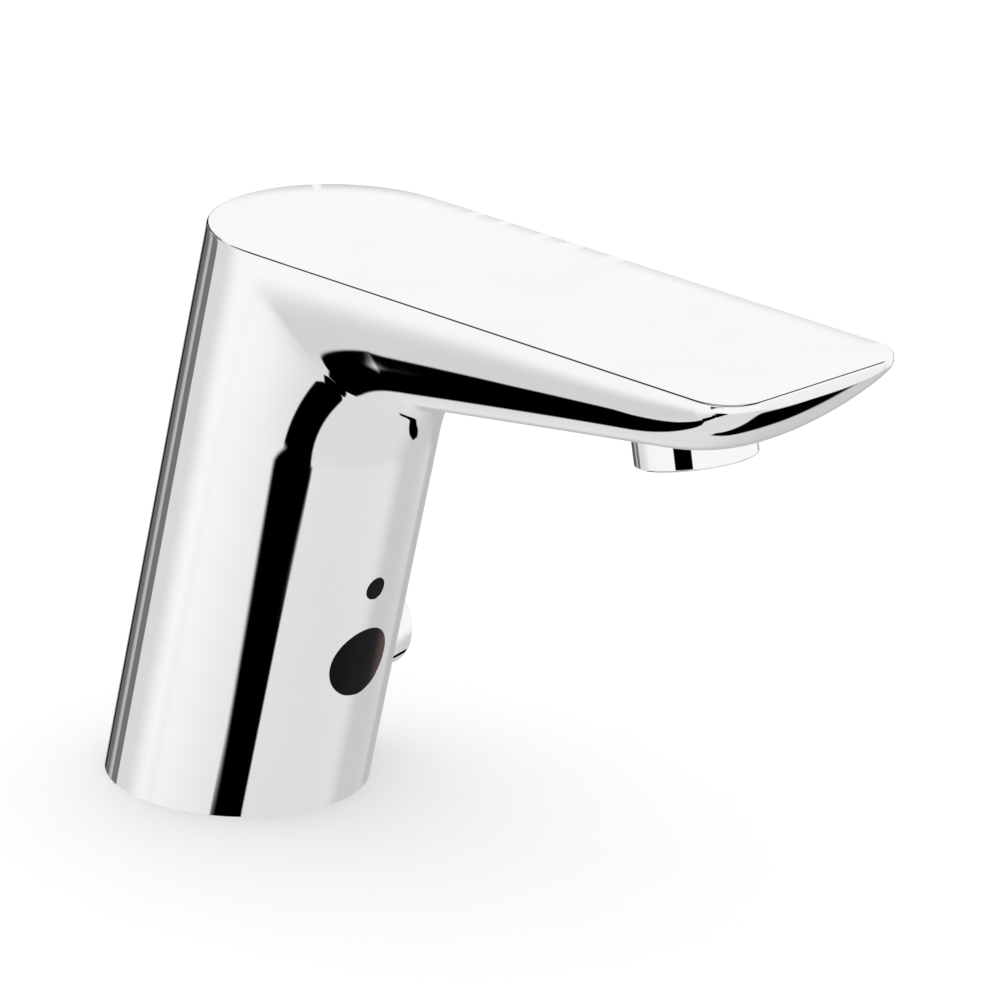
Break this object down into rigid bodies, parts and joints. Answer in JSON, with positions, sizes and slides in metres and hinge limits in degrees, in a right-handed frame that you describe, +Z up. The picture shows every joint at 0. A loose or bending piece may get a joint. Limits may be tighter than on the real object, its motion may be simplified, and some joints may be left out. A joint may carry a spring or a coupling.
{
  "type": "sensor tap",
  "caption": "Touch-free basin tap: a leaning chrome column with a flat-topped spout, an infrared eye in front, a mixing knob at the side, and the valve, solenoid and battery inside.",
  "frame": {"origin": "middle of the foot, on the basin's surface", "axes": "+Z up; the spout points to -Y, so +Y is the back; the mixing knob is on +X"},
  "size_m": [0.0611, 0.1748, 0.1194],
  "materials": {
    "chrome": "mirror-polished chrome plate",
    "brass": "machined",
    "steel": "stainless, bright",
    "rubber": "matt",
    "white_plastic": "moulded",
    "black_plastic": "moulded",
    "red_plastic": "moulded",
    "blue_plastic": "moulded",
    "dark_window": "polished, dark red-brown infrared filter",
    "battery_sleeve": "shrunk sleeve, plain",
    "circuit_board": "solder mask",
    "clear_diode": "clear moulded",
    "dark_diode": "dark moulded"
  },
  "bodies": {
    "tap_body": {"body_casting": "chrome", "base_plate": "brass", "base_screws": "steel", "base_seal": "rubber", "valve_block": "brass", "inlet_strainers": "steel", "check_valve_cages": "white_plastic", "hot_check_spring": "steel", "cold_check_spring": "steel", "temperature_stop": "white_plastic", "spindle_nut": "brass", "diaphragm": "rubber", "solenoid_bonnet": "steel", "solenoid_screws": "steel", "plunger_spring": "steel", "solenoid_coil": "black_plastic", "coil_clip": "steel", "outlet_tube": "white_plastic", "battery": "battery_sleeve", "battery_holder": "black_plastic", "sensor_window": "dark_window", "indicator_window": "dark_window", "sensor_housing": "black_plastic", "sensor_board": "circuit_board", "emitter_diode": "clear_diode", "receiver_diode": "dark_diode", "status_led": "red_plastic", "aerator_ring": "chrome", "aerator_insert": "white_plastic", "aerator_screen": "steel", "aerator_washer": "rubber"},
    "mixing_control": {"mixing_spindle": "brass", "mixing_knob": "chrome", "knob_screw": "steel"},
    "solenoid_plunger": {"plunger": "steel"},
    "hot_check_valve": {"hot_check_poppet": "red_plastic"},
    "cold_check_valve": {"cold_check_poppet": "blue_plastic"}
  },
  "joints": [
    {"name": "mixing_knob_turn", "type": "hinge", "parent": "tap_body", "child": "mixing_control", "pos_m": [0, -0.00523, 0.02404], "axis": [1, 0, 0], "range_deg": [-45, 45]},
    {"name": "plunger_slide", "type": "slide", "parent": "tap_body", "child": "solenoid_plunger", "axis": [0, -0.2125, 0.9772], "range_m": [0, 0.001], "stiffness_N_per_m": 300, "springref_m": -0.002, "deforming": ["plunger_spring"]},
    {"name": "hot_check_slide", "type": "slide", "parent": "tap_body", "child": "hot_check_valve", "axis": [0, -0.2125, 0.9772], "range_m": [0, 0.002], "stiffness_N_per_m": 100, "springref_m": -0.001, "deforming": ["hot_check_spring"]},
    {"name": "cold_check_slide", "type": "slide", "parent": "tap_body", "child": "cold_check_valve", "axis": [0, -0.2125, 0.9772], "range_m": [0, 0.002], "stiffness_N_per_m": 100, "springref_m": -0.001, "deforming": ["cold_check_spring"]}
  ]
}
